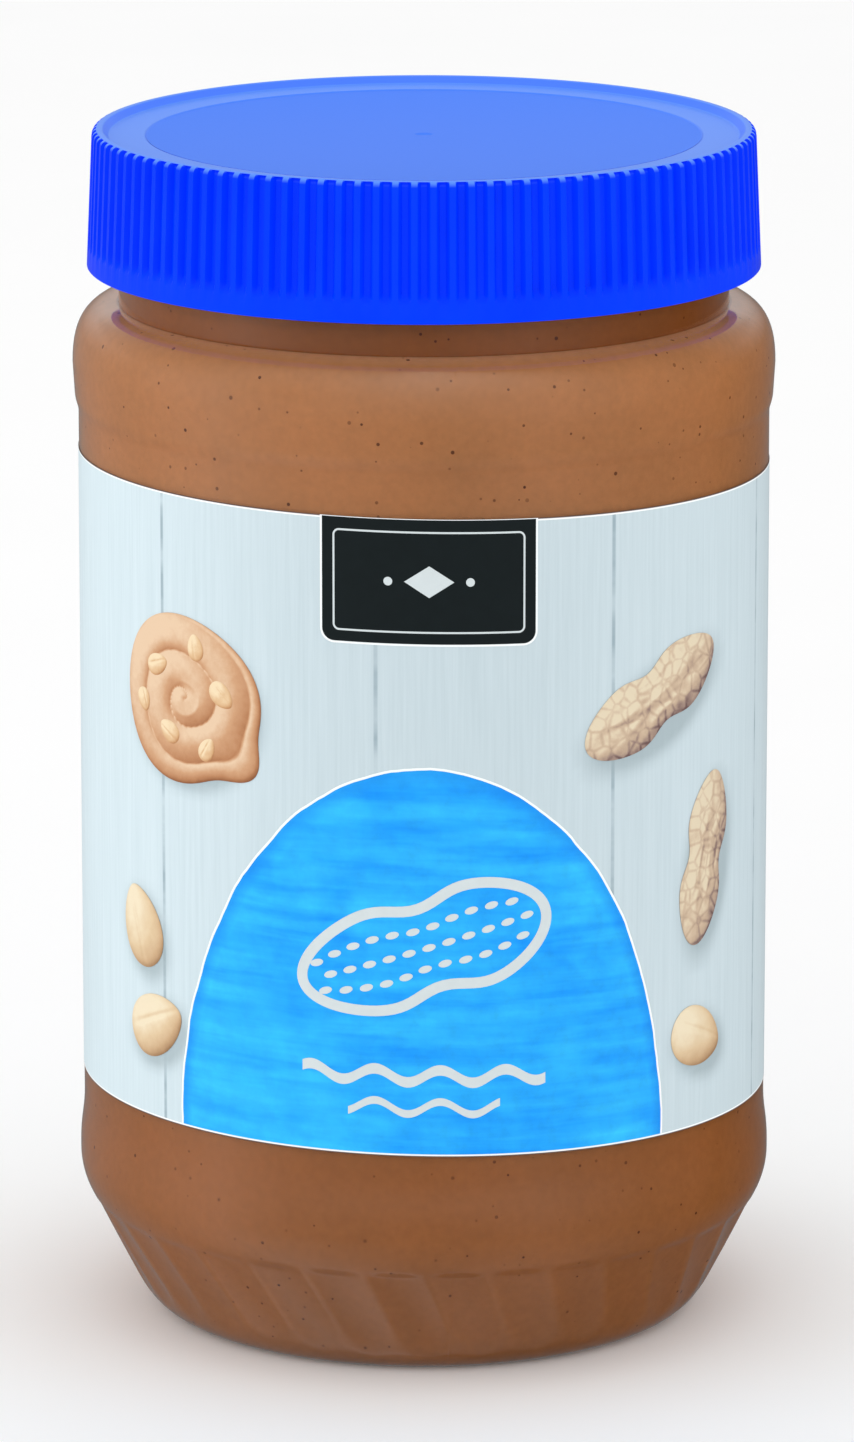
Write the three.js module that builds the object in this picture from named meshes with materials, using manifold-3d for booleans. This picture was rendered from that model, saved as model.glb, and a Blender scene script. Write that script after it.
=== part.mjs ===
// A jar of peanut butter: a clear blow-moulded plastic jar, filled and shut, with a paper label
// wrapped round it and a ribbed screw lid. Millimetres, +Z up. The origin is the centre of the
// ring that the jar stands on, and the middle of the label's front faces -Y.
import * as THREE from 'three';
import { mergeGeometries, mergeVertices } from 'three/addons/utils/BufferGeometryUtils.js';
import Module from 'manifold-3d';

const wasm = await Module();
wasm.setup();

// Shared by all pieces
const gap = 0.3; // between two pieces that touch
const overrun = 1.0; // how far a cutting shape runs past what it cuts
const weldDistance = 1e-5; // corners nearer than this are one corner
const roundSegments = 68; // flats round the jar and the label, two to a flute
const insideSegments = 34; // flats round the inside of the jar and its contents

// Jar, from the ground up. Pairs are a radius and a height on its outer skin
const wall = 1.0;
const pushUpHeight = 3.0; // how far the middle of the base arches up
const pushUpFullness = 0.75; // where between the middle and the ring the arch bends down
const standingInner = 31.0; // radii of the flat ring that touches the table
const standingOuter = 35.1;
const heelCorner = 38.8; // where the sloping side would meet the table
const slopeBottom = { radius: 41.3, height: 4.9 };
const slopeTop = { radius: 48.4, height: 18.6 };
const lowerBand = { radius: 49.0, low: 21.9, high: 24.4 }; // raised band below the label
const wallRadius = 48.5; // the straight side, and the face of the label
const wallLow = 26.9;
const wallHigh = 130.0;
const bandFoot = { radius: 48.9, height: 131.5 }; // the raised band above the label
const bandCrest = { radius: 49.2, height: 136.4 };
const shoulderFullness = 0.69; // 0.55 would be a quarter of an ellipse
const neckRadius = 42.7;
const neckLow = 144.8;
const mouthHeight = 166.3;
const closureBand = { radius: 44.3, foot: 151.0, low: 152.0 }; // what the lid grips
const fillHeight = 157.5; // behind the lid: 1.04 litres of contents

// Flutes moulded into the sloping side
const fluteCount = roundSegments / 2;
const fluteDepth = 0.45;
const fluteTop = 16.9;
const fluteEnd = 1.0; // length over which a flute runs out at each end
const fluteTwist = THREE.MathUtils.degToRad(6); // turn from its top to its foot

// Label
const labelThickness = 0.25;
const labelLow = 34.0;
const labelHigh = 123.5;
const labelSkew = 0.02; // it was put on askew, and drops this much for each unit along +X

// Lid
const lidLow = 149.9;
const lidHigh = 169.2;
const lidFoot = 47.1; // outer radius at the lower edge
const lidShoulder = 46.3; // outer radius where the side ends and the rim rounds over
const rimRound = 0.8;
const rimInner = 44.9;
const ringOuter = 43.9; // flat ring inside the raised rim
const ringHeight = 168.2;
const discRadius = 38.8; // the middle of the top, a small step lower than the ring
const discStep = 0.3;
const ribCount = 113;
const grooveShare = 0.5; // part of each rib's pitch that is groove
const grooveDepth = 0.55;
const grooveLow = 152.5;
const grooveHigh = 168.2;

// A closed geometry as a solid that can be joined and cut
function solidOf(geometry) {
  const bare = geometry.clone();
  bare.deleteAttribute('normal');
  bare.deleteAttribute('uv');
  const merged = mergeVertices(bare, weldDistance);
  const vertProperties = new Float32Array(merged.attributes.position.array);
  const triVerts = new Uint32Array(merged.index.array);
  return new wasm.Manifold(new wasm.Mesh({ numProp: 3, vertProperties, triVerts }));
}

function geometryOf(solid) {
  const { vertProperties, triVerts } = solid.getMesh();
  const geometry = new THREE.BufferGeometry();
  geometry.setAttribute('position', new THREE.BufferAttribute(vertProperties, 3));
  geometry.setIndex(new THREE.BufferAttribute(triVerts, 1));
  geometry.computeVertexNormals();
  return geometry;
}

// Turns an outline of [radius, height] points about the Z axis, from the front round to +X
function turned(outline, segments, startAngle = 0) {
  const points = outline.map(([radius, height]) => new THREE.Vector2(radius, height));
  return new THREE.LatheGeometry(points, segments, startAngle).rotateX(Math.PI / 2);
}

// The jar's skin from the middle of its base to a height on its neck
function skinOutline(topHeight) {
  const slopePoint = (height) => {
    const along = (height - slopeBottom.height) / (slopeTop.height - slopeBottom.height);
    return [THREE.MathUtils.lerp(slopeBottom.radius, slopeTop.radius, along), height];
  };
  const pushUp = new THREE.QuadraticBezierCurve(
    new THREE.Vector2(0, pushUpHeight),
    new THREE.Vector2(standingInner * pushUpFullness, pushUpHeight),
    new THREE.Vector2(standingInner, 0),
  );
  const heel = new THREE.QuadraticBezierCurve(
    new THREE.Vector2(standingOuter, 0),
    new THREE.Vector2(heelCorner, 0),
    new THREE.Vector2(slopeBottom.radius, slopeBottom.height),
  );
  const crestBend = THREE.MathUtils.lerp(bandCrest.height, neckLow, shoulderFullness);
  const neckBend = THREE.MathUtils.lerp(neckRadius, bandCrest.radius, shoulderFullness);
  const shoulder = new THREE.CubicBezierCurve(
    new THREE.Vector2(bandCrest.radius, bandCrest.height),
    new THREE.Vector2(bandCrest.radius, crestBend),
    new THREE.Vector2(neckBend, neckLow),
    new THREE.Vector2(neckRadius, neckLow),
  );
  return [
    ...curvePoints(pushUp, 3),
    ...curvePoints(heel, 3),
    slopePoint(slopeBottom.height + fluteEnd),
    slopePoint(fluteTop - fluteEnd),
    slopePoint(fluteTop),
    slopePoint(slopeTop.height),
    [lowerBand.radius, lowerBand.low],
    [lowerBand.radius, lowerBand.high],
    [wallRadius, wallLow],
    [wallRadius, wallHigh],
    [bandFoot.radius, bandFoot.height],
    ...curvePoints(shoulder, 5),
    [neckRadius, topHeight],
  ];
}

function curvePoints(curve, steps) {
  return curve.getPoints(steps).map((point) => point.toArray());
}

// An open outline moved inwards by an even distance, with its first point kept on the axis
function insetOutline(outline, distance) {
  const normalBetween = ([fromRadius, fromHeight], [toRadius, toHeight]) =>
    new THREE.Vector2(fromHeight - toHeight, toRadius - fromRadius).normalize();
  return outline.map(([radius, height], i) => {
    if (i === 0) {
      return [0, height + distance];
    }
    const before = normalBetween(outline[i - 1], outline[i]);
    const isLast = i === outline.length - 1;
    const after = isLast ? before : normalBetween(outline[i], outline[i + 1]);
    const inwards = before.clone().add(after).normalize();
    inwards.multiplyScalar(distance / inwards.dot(before));
    return [radius + inwards.x, height + inwards.y];
  });
}

// Sinks every second column of vertices between the ends of the flutes, and turns the columns
// a little on their way down, so that the flutes lean
function carveFlutes(geometry) {
  const position = geometry.attributes.position;
  const fluteFoot = slopeBottom.height;
  const columnWidth = Math.PI / fluteCount;
  for (let i = 0; i < position.count; i += 1) {
    const height = position.getZ(i);
    const radius = Math.hypot(position.getX(i), position.getY(i));
    const angle = Math.atan2(position.getX(i), -position.getY(i));
    const isValley = Math.abs(Math.round(angle / columnWidth)) % 2 === 1;
    const isInFlute = height > fluteFoot + fluteEnd / 2 && height < fluteTop - fluteEnd / 2;
    const depth = isValley && isInFlute ? fluteDepth : 0;
    const down = THREE.MathUtils.clamp((fluteTop - height) / (fluteTop - fluteFoot), 0, 1);
    const leaningAngle = angle + fluteTwist * down;
    position.setX(i, (radius - depth) * Math.sin(leaningAngle));
    position.setY(i, -(radius - depth) * Math.cos(leaningAngle));
  }
  return geometry;
}

// A band round the jar that lies askew as the label does
function skewedBand(innerRadius, outerRadius, low, high) {
  const outline = [
    [innerRadius, low],
    [outerRadius, low],
    [outerRadius, high],
    [innerRadius, high],
    [innerRadius, low],
  ];
  const skew = new THREE.Matrix4().makeShear(0, -labelSkew, 0, 0, 0, 0);
  return turned(outline, roundSegments).applyMatrix4(skew);
}

// The clear shell: one even wall, open at the mouth, with a shallow bed where the label lies
function jarGeometry() {
  const outside = turned([...skinOutline(mouthHeight), [0, mouthHeight]], roundSegments);
  const closure = turned(
    [
      [0, closureBand.foot],
      [neckRadius - wall / 2, closureBand.foot],
      [closureBand.radius, closureBand.low],
      [closureBand.radius, mouthHeight],
      [0, mouthHeight],
    ],
    roundSegments,
  );
  const aboveMouth = mouthHeight + overrun;
  const inside = turned(
    [...insetOutline(skinOutline(aboveMouth), wall), [0, aboveMouth]],
    insideSegments,
  );
  const bedRadius = wallRadius - labelThickness - gap;
  const bed = skewedBand(bedRadius, wallRadius + overrun, labelLow - gap, labelHigh + gap);
  const shell = solidOf(carveFlutes(outside))
    .add(solidOf(closure))
    .subtract(solidOf(inside))
    .subtract(solidOf(bed));
  return geometryOf(shell);
}

function peanutButterGeometry() {
  const side = insetOutline(skinOutline(fillHeight), wall + gap);
  return turned([...side, [0, fillHeight]], insideSegments);
}

function labelGeometry() {
  return skewedBand(wallRadius - labelThickness, wallRadius, labelLow, labelHigh);
}

// The lid: a stepped top inside a raised rim, and a slightly tapering side cut into ribs
function lidGeometry() {
  const rim = new THREE.QuadraticBezierCurve(
    new THREE.Vector2(lidShoulder, lidHigh - rimRound),
    new THREE.Vector2(lidShoulder, lidHigh),
    new THREE.Vector2(lidShoulder - rimRound, lidHigh),
  );
  const halfPitch = Math.PI / ribCount;
  const outside = turned(
    [
      [0, lidLow],
      [lidFoot, lidLow],
      ...curvePoints(rim, 2),
      [rimInner, lidHigh],
      [ringOuter, ringHeight],
      [discRadius, ringHeight],
      [discRadius - discStep, ringHeight - discStep],
      [0, ringHeight - discStep],
    ],
    ribCount,
    halfPitch,
  );
  const hollowRadius = closureBand.radius + gap;
  const hollowTop = mouthHeight + gap;
  const hollow = turned(
    [
      [0, lidLow - overrun],
      [hollowRadius, lidLow - overrun],
      [hollowRadius, hollowTop],
      [0, hollowTop],
    ],
    roundSegments,
  );
  const cup = solidOf(outside).subtract(solidOf(hollow));
  return geometryOf(cup.subtract(solidOf(grooveBars())));
}

// The shape of all the grooves: upright bars that lean in with the taper of the lid's side
function grooveBars() {
  const lean = Math.atan((lidFoot - lidShoulder) / (lidHigh - rimRound - lidLow));
  const middleHeight = (grooveLow + grooveHigh) / 2;
  const middleRadius = lidFoot - Math.tan(lean) * (middleHeight - lidLow);
  const grooveWidth = (grooveShare * 2 * Math.PI * middleRadius) / ribCount;
  const barDepth = grooveDepth + overrun;
  const bars = [];
  for (let i = 0; i < ribCount; i += 1) {
    const bar = new THREE.BoxGeometry(grooveWidth, barDepth, grooveHigh - grooveLow);
    bar.rotateX(-lean);
    bar.translate(0, -(middleRadius - grooveDepth + barDepth / 2), middleHeight);
    bar.rotateZ((2 * Math.PI * i) / ribCount);
    bars.push(bar);
  }
  return mergeGeometries(bars);
}

function piece(name, geometry, looks) {
  const mesh = new THREE.Mesh(geometry, new THREE.MeshStandardMaterial(looks));
  mesh.name = name;
  return mesh;
}

const clearPlastic = { color: 0xf2f4f3, roughness: 0.08, transparent: true, opacity: 0.25 };
const peanutButterPaste = { color: 0xa5744c, roughness: 0.55, metalness: 0 };
const coatedPaper = { color: 0xe3eff2, roughness: 0.45, metalness: 0 };
const bluePolypropylene = { color: 0x1f5cff, roughness: 0.35, metalness: 0 };

const peanutButterJar = new THREE.Group();
peanutButterJar.add(piece('jar', jarGeometry(), clearPlastic));
peanutButterJar.add(piece('peanut_butter', peanutButterGeometry(), peanutButterPaste));
peanutButterJar.add(piece('label', labelGeometry(), coatedPaper));
peanutButterJar.add(piece('lid', lidGeometry(), bluePolypropylene));

export default peanutButterJar;
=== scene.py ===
import math

import bmesh
import bpy
from mathutils import Matrix, Vector, noise
from mathutils.geometry import interpolate_bezier


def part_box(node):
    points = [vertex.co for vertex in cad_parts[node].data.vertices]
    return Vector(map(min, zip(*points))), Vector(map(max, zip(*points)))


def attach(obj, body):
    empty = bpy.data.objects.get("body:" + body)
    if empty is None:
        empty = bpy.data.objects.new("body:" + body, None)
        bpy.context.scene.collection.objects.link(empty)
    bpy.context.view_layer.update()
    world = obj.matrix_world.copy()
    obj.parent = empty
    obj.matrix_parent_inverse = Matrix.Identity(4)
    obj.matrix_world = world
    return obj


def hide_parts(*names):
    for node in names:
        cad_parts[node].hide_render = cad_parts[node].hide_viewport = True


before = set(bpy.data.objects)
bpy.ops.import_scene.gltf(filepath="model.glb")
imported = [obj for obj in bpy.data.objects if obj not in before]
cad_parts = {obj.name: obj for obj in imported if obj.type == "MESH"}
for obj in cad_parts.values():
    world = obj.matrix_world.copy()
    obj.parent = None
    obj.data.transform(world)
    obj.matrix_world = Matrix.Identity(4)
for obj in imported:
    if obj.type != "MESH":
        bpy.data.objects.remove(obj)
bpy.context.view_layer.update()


# The view. A long lens stands 1.2 m in front of the jar and looks 13 degrees down on it. The jar
# stands a little left of the middle of the frame, which the lens shift gives.
PHOTO_HEIGHT_PX = 1442
FOCAL_LENGTH_PX = 8746.6
JAR_AXIS_LEFT_OF_MIDDLE_PX = 3
CAMERA_PLACE = (0, -1.2043, 0.3677)      # metres
LOOKING_DOWN = math.radians(13.25)

scene = bpy.context.scene
view = bpy.data.cameras.new("long_lens")
view.sensor_width = 36
view.lens = view.sensor_width * FOCAL_LENGTH_PX / PHOTO_HEIGHT_PX
view.shift_x = JAR_AXIS_LEFT_OF_MIDDLE_PX / PHOTO_HEIGHT_PX
view.clip_end = 20
camera = bpy.data.objects.new("camera", view)
camera.location = CAMERA_PLACE
camera.rotation_euler = (math.radians(90) - LOOKING_DOWN, 0, 0)
scene.collection.objects.link(camera)
scene.camera = camera


# The jar: a clear shell of PET, stretch-blown in a mould. It has an arched base inside the ring
# it stands on, a rounded heel, a sloping foot with leaning flutes, a raised band below the label
# and a taller one above it, and a shoulder that rounds over to the neck. Even wall all over.
MM = 0.001               # every mesh is made in millimetres and brought to metres at its end
TURN = 2 * math.pi
WALL = 0.6
WALL_RADIUS = 48.42      # the straight side, under the label
NECK_RADIUS, NECK_FOOT = 42.7, 144.8
FLUTES = 34
COLUMNS = 12 * FLUTES
FLUTE_DEPTH = 0.45
FLUTE_TOP = 16.9
FLUTE_LEAN = math.radians(6)     # turn of a flute from its top to its foot, towards +X in front
MOUTH_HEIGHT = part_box("jar")[1].z / MM


def linear(hex_colour):
    """An sRGB colour such as #a0b1c2 as the linear RGBA that a shader takes."""
    channels = [int(hex_colour[i:i + 2], 16) / 255 for i in (1, 3, 5)]
    return [c / 12.92 if c <= 0.04045 else ((c + 0.055) / 1.055) ** 2.4 for c in channels] + [1]


def add_node(tree, kind, settings=None, stops=None, **links):
    """Adds a node. A link's name is an input's, with _ for a space, or in_0 for its number; its
    value is an output to join, or a plain value for the socket. A ramp's stops are pairs of a
    place and a colour."""
    node = tree.nodes.new(kind)
    for name, value in (settings or {}).items():
        setattr(node, name, value)
    for name, value in links.items():
        key = int(name[3:]) if name.startswith("in_") else name.replace("_", " ")
        if isinstance(value, bpy.types.NodeSocket):
            tree.links.new(value, node.inputs[key])
        else:
            node.inputs[key].default_value = value
    if stops:
        ramp = node.color_ramp.elements
        ramp[0].position, ramp[0].color = stops[0]
        ramp[1].position, ramp[1].color = stops[-1]
        for place, colour in stops[1:-1]:
            ramp.new(place).color = colour
    return node


def new_material(name):
    """A material and its node tree, emptied."""
    material = bpy.data.materials.new(name)
    material.use_nodes = True
    material.node_tree.nodes.clear()
    return material, material.node_tree


def bend(start, corner, end, steps, fullness=2 / 3):
    """A rounded corner that leaves start and end along the lines to the corner."""
    handles = start.lerp(corner, fullness), end.lerp(corner, fullness)
    return interpolate_bezier(start, *handles, end, steps + 1)


def turned(outline, soft_corners, softness, steps, angle=TURN):
    """A bmesh of an outline in the XZ plane, its corners softened, turned about the Z axis."""
    bm = bmesh.new()
    verts = [bm.verts.new(point) for point in outline]
    for pair in zip(verts, verts[1:]):
        bm.edges.new(pair)
    corners = [vert for vert, point in zip(verts, outline) if point in soft_corners]
    bmesh.ops.bevel(
        bm, geom=corners, offset=softness, segments=3, profile=0.5, affect="VERTICES", material=-1
    )
    bmesh.ops.spin(
        bm, geom=bm.verts[:] + bm.edges[:], cent=(0, 0, 0), axis=(0, 0, 1), angle=angle,
        steps=steps, use_merge=angle == TURN,
    )
    bmesh.ops.remove_doubles(bm, verts=bm.verts[:], dist=0.001)
    bmesh.ops.recalc_face_normals(bm, faces=bm.faces[:])
    return bm


def finished(name, bm, material, sharp_degrees=None):
    """The piece of a bmesh made in millimetres. It rides on the jar's one body."""
    bmesh.ops.scale(bm, vec=(MM, MM, MM), verts=bm.verts[:])
    mesh = bpy.data.meshes.new(name)
    bm.to_mesh(mesh)
    bm.free()
    mesh.shade_smooth()
    if sharp_degrees:
        mesh.set_sharp_from_angle(angle=math.radians(sharp_degrees))
    mesh.materials.append(material)
    piece = bpy.data.objects.new(name, mesh)
    scene.collection.objects.link(piece)
    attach(piece, "root")
    return piece


def front_angle(point):
    """The angle of a point round the axis, from the middle of the front towards +X."""
    return math.atan2(point.x, -point.y)


def place_round(vert, angle, radius):
    vert.co.x = radius * math.sin(angle)
    vert.co.y = -radius * math.cos(angle)


def jar_skin(top):
    """The jar's outer skin as a bmesh, closed at the base and open at its top."""
    base_middle = Vector((0, 0, 3.0))
    standing_inner, standing_outer = Vector((31.0, 0, 0)), Vector((35.1, 0, 0))
    slope_bottom, slope_top = Vector((41.3, 0, 4.9)), Vector((47.8, 0, 17.44))
    band_low, band_high = Vector((49.0, 0, 22.4)), Vector((49.0, 0, 23.4))
    half_way_in = Vector(((band_high.x + WALL_RADIUS) / 2, 0, 27.2))
    straight_side = [Vector((WALL_RADIUS, 0, 31.0)), Vector((WALL_RADIUS, 0, 130.0))]
    upper_band = [Vector((48.9, 0, 131.5)), Vector((49.2, 0, 136.4))]
    neck_root = Vector((NECK_RADIUS, 0, NECK_FOOT))
    push_up_bend = Vector((0.75 * standing_inner.x, 0, base_middle.z))
    heel_corner = Vector((38.8, 0, 0))
    slope_rows, shoulder_fullness, edge_softness = 24, 0.69, 0.55
    outline = [
        *bend(base_middle, push_up_bend, standing_inner, 12),
        *bend(standing_outer, heel_corner, slope_bottom, 10),
        *[slope_bottom.lerp(slope_top, row / slope_rows) for row in range(1, slope_rows)],
        *bend(slope_top, Vector((band_low.x, 0, 19.8)), band_low, 8),
        *bend(band_high, Vector((band_high.x, 0, 25.2)), half_way_in, 4),
        *bend(half_way_in, Vector((WALL_RADIUS, 0, 29.2)), straight_side[0], 4)[1:],
        straight_side[1],
        *upper_band,
        *bend(
            upper_band[1], Vector((upper_band[1].x, 0, NECK_FOOT)), neck_root, 16,
            shoulder_fullness,
        )[1:],
        Vector((NECK_RADIUS, 0, top)),
    ]
    soft_corners = [straight_side[1], upper_band[0]]
    return turned(outline, soft_corners, edge_softness, COLUMNS)


def press_flutes(bm):
    """Sinks shallow flutes between sharp ridges into the slope. Each starts abruptly and ends
    round, and all lean the same way."""
    standing_ring, foot, rounded_end, top_end, round_off = 35, 4.9, 4.5, 0.7, 2.5
    for vert in bm.verts:
        angle, radius = front_angle(vert.co), math.hypot(vert.co.x, vert.co.y)
        if radius < standing_ring or vert.co.z > FLUTE_TOP:
            continue
        across = 2 * (angle * FLUTES / TURN % 1) - 1
        down = min(1, (FLUTE_TOP - vert.co.z) / (FLUTE_TOP - foot))
        into_end = max(0, foot + rounded_end - vert.co.z) / (rounded_end + round_off)
        start = min(1, (FLUTE_TOP - vert.co.z) / top_end)
        depth = FLUTE_DEPTH * start * max(0, 1 - across ** 2 - into_end ** 2)
        place_round(vert, angle + FLUTE_LEAN * down, radius - depth)


def clear_pet():
    """Stretch-blown PET: clear and glossy, with the faint slow waviness of a blown wall, so what
    is mirrored in it has soft uneven edges. Lamps shine through it onto the contents."""
    material, tree = new_material("clear_pet_blow_moulded")
    place = add_node(tree, "ShaderNodeTexCoord")
    ripple_size, orange_peel_size = 14 * MM, 3 * MM
    parting_turn, parting_width = math.radians(5), 0.25 * MM
    ripple = add_node(
        tree, "ShaderNodeTexNoise", Vector=place.outputs["Object"], Scale=1 / ripple_size, Detail=1.0
    )
    peel = add_node(
        tree, "ShaderNodeTexNoise", Vector=place.outputs["Object"], Scale=1 / orange_peel_size,
        Detail=1.0,
    )
    # a fine line where the two halves of the mould met, at the front and the back
    parting_normal = Matrix.Rotation(parting_turn, 4, "Z") @ Vector((1, 0, 0))
    from_parting = add_node(
        tree, "ShaderNodeVectorMath", {"operation": "DOT_PRODUCT"},
        in_0=place.outputs["Object"], in_1=parting_normal,
    )
    distance = add_node(
        tree, "ShaderNodeMath", {"operation": "ABSOLUTE"}, in_0=from_parting.outputs["Value"]
    )
    line = add_node(
        tree, "ShaderNodeMapRange", {"interpolation_type": "SMOOTHSTEP"}, in_0=distance.outputs[0],
        From_Min=0, From_Max=parting_width, To_Min=1, To_Max=0,
    )
    slow = add_node(
        tree, "ShaderNodeBump", Height=ripple.outputs[0], Distance=0.12 * MM, Strength=0.6
    )
    fine = add_node(
        tree, "ShaderNodeBump", Height=peel.outputs[0], Distance=0.004 * MM, Strength=0.5,
        Normal=slow.outputs[0],
    )
    seam = add_node(
        tree, "ShaderNodeBump", Height=line.outputs[0], Distance=0.05 * MM, Strength=0.5,
        Normal=fine.outputs[0],
    )
    plastic = add_node(
        tree, "ShaderNodeBsdfPrincipled", Base_Color=linear("#fbfcfb"), Roughness=0.06, IOR=1.575,
        Transmission_Weight=1, Normal=seam.outputs[0],
    )
    see_through = add_node(tree, "ShaderNodeBsdfTransparent", Color=linear("#f4f6f5"))
    rays = add_node(tree, "ShaderNodeLightPath")
    surface = add_node(
        tree, "ShaderNodeMixShader", in_0=rays.outputs["Is Shadow Ray"],
        in_1=plastic.outputs[0], in_2=see_through.outputs[0],
    )
    add_node(tree, "ShaderNodeOutputMaterial", Surface=surface.outputs[0])
    return material


shell = jar_skin(MOUTH_HEIGHT)
press_flutes(shell)
bmesh.ops.solidify(shell, geom=shell.faces[:], thickness=WALL)
jar = finished("jar_shell", shell, clear_pet(), 35)
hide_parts("jar")


# The contents: crunchy peanut butter, hot-filled, so it wets the wall everywhere and takes its
# form, flutes and all. It reaches a little way into the wall, and so no air shows between.
FILL_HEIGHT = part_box("peanut_butter")[1].z / MM
INTO_WALL = 0.1


def distance_from_axis(tree, place):
    """How far a place is from the jar's axis, in metres, as an output."""
    level_part = add_node(
        tree, "ShaderNodeVectorMath", {"operation": "MULTIPLY"}, in_0=place, in_1=(1, 1, 0)
    )
    length = add_node(
        tree, "ShaderNodeVectorMath", {"operation": "LENGTH"}, in_0=level_part.outputs[0]
    )
    return length.outputs["Value"]


def ground_peanuts():
    """Ground roasted peanuts: a matt tan paste in soft clouds of lighter and darker oiliness,
    with specks of skin 0.16 to 0.64 mm across, some of them sunk in it and faint. Painted shade
    makes it a deeper brown towards the foot and, under the lid, in the neck, and painted light
    makes it paler beside the neck."""
    material, tree = new_material("peanut_butter_ground_roasted")
    place = add_node(tree, "ShaderNodeTexCoord").outputs["Object"]
    cloud_size, grain_size, speck_spacing = 22 * MM, 1.3 * MM, 2.0 * MM
    neck, shoulder_low = NECK_RADIUS * MM, 0.9 * NECK_FOOT * MM
    neck_edge, painted_light_from, painted_light_to = neck + 0.4 * MM, neck + 3.4 * MM, neck + 1.0 * MM
    # each tint of painted light or shade multiplies the paste's own colour
    neck_painted_shade, beside_neck_painted_light = (0.55, 0.41, 0.23, 1), (1.25, 1.55, 2.0, 1)
    painted_shade_by_height = [
        (0.0, (0.58, 0.52, 0.4, 1)),
        (0.23, (0.64, 0.545, 0.4, 1)),
        (0.9, (0.84, 0.86, 0.86, 1)),
        (1.0, (0.87, 0.89, 0.86, 1)),
    ]
    clouds = add_node(
        tree, "ShaderNodeTexNoise", Vector=place, Scale=1 / cloud_size, Detail=3.0, Roughness=0.55
    )
    tone = add_node(
        tree, "ShaderNodeValToRGB", stops=[(0.32, linear("#d08f5c")), (0.68, linear("#dc9762"))],
        Fac=clouds.outputs[0],
    )
    grain = add_node(
        tree, "ShaderNodeTexNoise", Vector=place, Scale=1 / grain_size, Detail=2.0, Roughness=0.6
    )
    grain_tone = add_node(
        tree, "ShaderNodeMapRange", in_0=grain.outputs[0], From_Min=0.3, From_Max=0.7,
        To_Min=0.95, To_Max=1.05,
    )
    grained = add_node(
        tree, "ShaderNodeVectorMath", {"operation": "SCALE"}, in_0=tone.outputs[0],
        Scale=grain_tone.outputs[0],
    )
    height = add_node(tree, "ShaderNodeSeparateXYZ", Vector=place).outputs[2]
    share_of_height = add_node(tree, "ShaderNodeMapRange", in_0=height, From_Max=NECK_FOOT * MM)
    # painted shade: the paste is darker towards the foot
    painted_light_tint = add_node(
        tree, "ShaderNodeValToRGB", stops=painted_shade_by_height, Fac=share_of_height.outputs[0]
    ).outputs[0]
    radius_here = distance_from_axis(tree, place)
    on_shoulder = add_node(
        tree, "ShaderNodeMath", {"operation": "GREATER_THAN"}, in_0=height, in_1=shoulder_low
    )
    # painted light on the shoulder beside the neck, then painted shade in the neck under the lid
    for starts, is_full, own_painted_tint in (
        (painted_light_from, painted_light_to, beside_neck_painted_light),
        (neck_edge, neck, neck_painted_shade),
    ):
        inwards = add_node(
            tree, "ShaderNodeMapRange", in_0=radius_here, From_Min=starts, From_Max=is_full
        )
        amount = add_node(
            tree, "ShaderNodeMath", {"operation": "MULTIPLY"}, in_0=inwards.outputs[0],
            in_1=on_shoulder.outputs[0],
        )
        painted_light_tint = add_node(
            tree, "ShaderNodeMix", {"data_type": "RGBA"}, in_0=amount.outputs[0], in_6=painted_light_tint,
            in_7=own_painted_tint,
        ).outputs[2]
    toned = add_node(
        tree, "ShaderNodeVectorMath", {"operation": "MULTIPLY"}, in_0=grained.outputs[0], in_1=painted_light_tint
    )
    cells = add_node(
        tree, "ShaderNodeTexVoronoi", Vector=place, Scale=1 / speck_spacing, Randomness=1.0
    )
    # each cell of the pattern has one speck, and the cell's own random colour gives its size
    # and how deep it is sunk
    chance = add_node(tree, "ShaderNodeSeparateColor", Color=cells.outputs["Color"])
    radius = add_node(
        tree, "ShaderNodeMapRange", in_0=chance.outputs[0], From_Min=0.2, From_Max=1.0,
        To_Min=0.04, To_Max=0.16,
    )
    inside = add_node(
        tree, "ShaderNodeMath", {"operation": "SUBTRACT"}, in_0=radius.outputs[0],
        in_1=cells.outputs["Distance"],
    )
    speck = add_node(
        tree, "ShaderNodeMapRange", in_0=inside.outputs[0], From_Min=0.0, From_Max=0.03
    )
    showing = add_node(
        tree, "ShaderNodeMapRange", in_0=chance.outputs[1], To_Min=0.4, To_Max=1.0
    )
    speck_amount = add_node(
        tree, "ShaderNodeMath", {"operation": "MULTIPLY"}, in_0=speck.outputs[0],
        in_1=showing.outputs[0],
    )
    colour = add_node(
        tree, "ShaderNodeMix", {"data_type": "RGBA"}, in_0=speck_amount.outputs[0],
        in_6=toned.outputs[0], in_7=linear("#5c2c14"),
    )
    paste = add_node(
        tree, "ShaderNodeBsdfPrincipled", Base_Color=colour.outputs[2], Roughness=0.6, IOR=1.46,
        Specular_IOR_Level=0.1,
    )
    add_node(tree, "ShaderNodeOutputMaterial", Surface=paste.outputs[0])
    return material


filling = jar_skin(FILL_HEIGHT)
press_flutes(filling)
for vert in filling.verts:
    vert.co -= vert.normal * (WALL - INTO_WALL)
rim = [edge for edge in filling.edges if edge.is_boundary]
bmesh.ops.contextual_create(filling, geom=rim)
bmesh.ops.recalc_face_normals(filling, faces=filling.faces[:])
contents = finished("peanut_butter_fill", filling, ground_peanuts(), 35)
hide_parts("peanut_butter")


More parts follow.
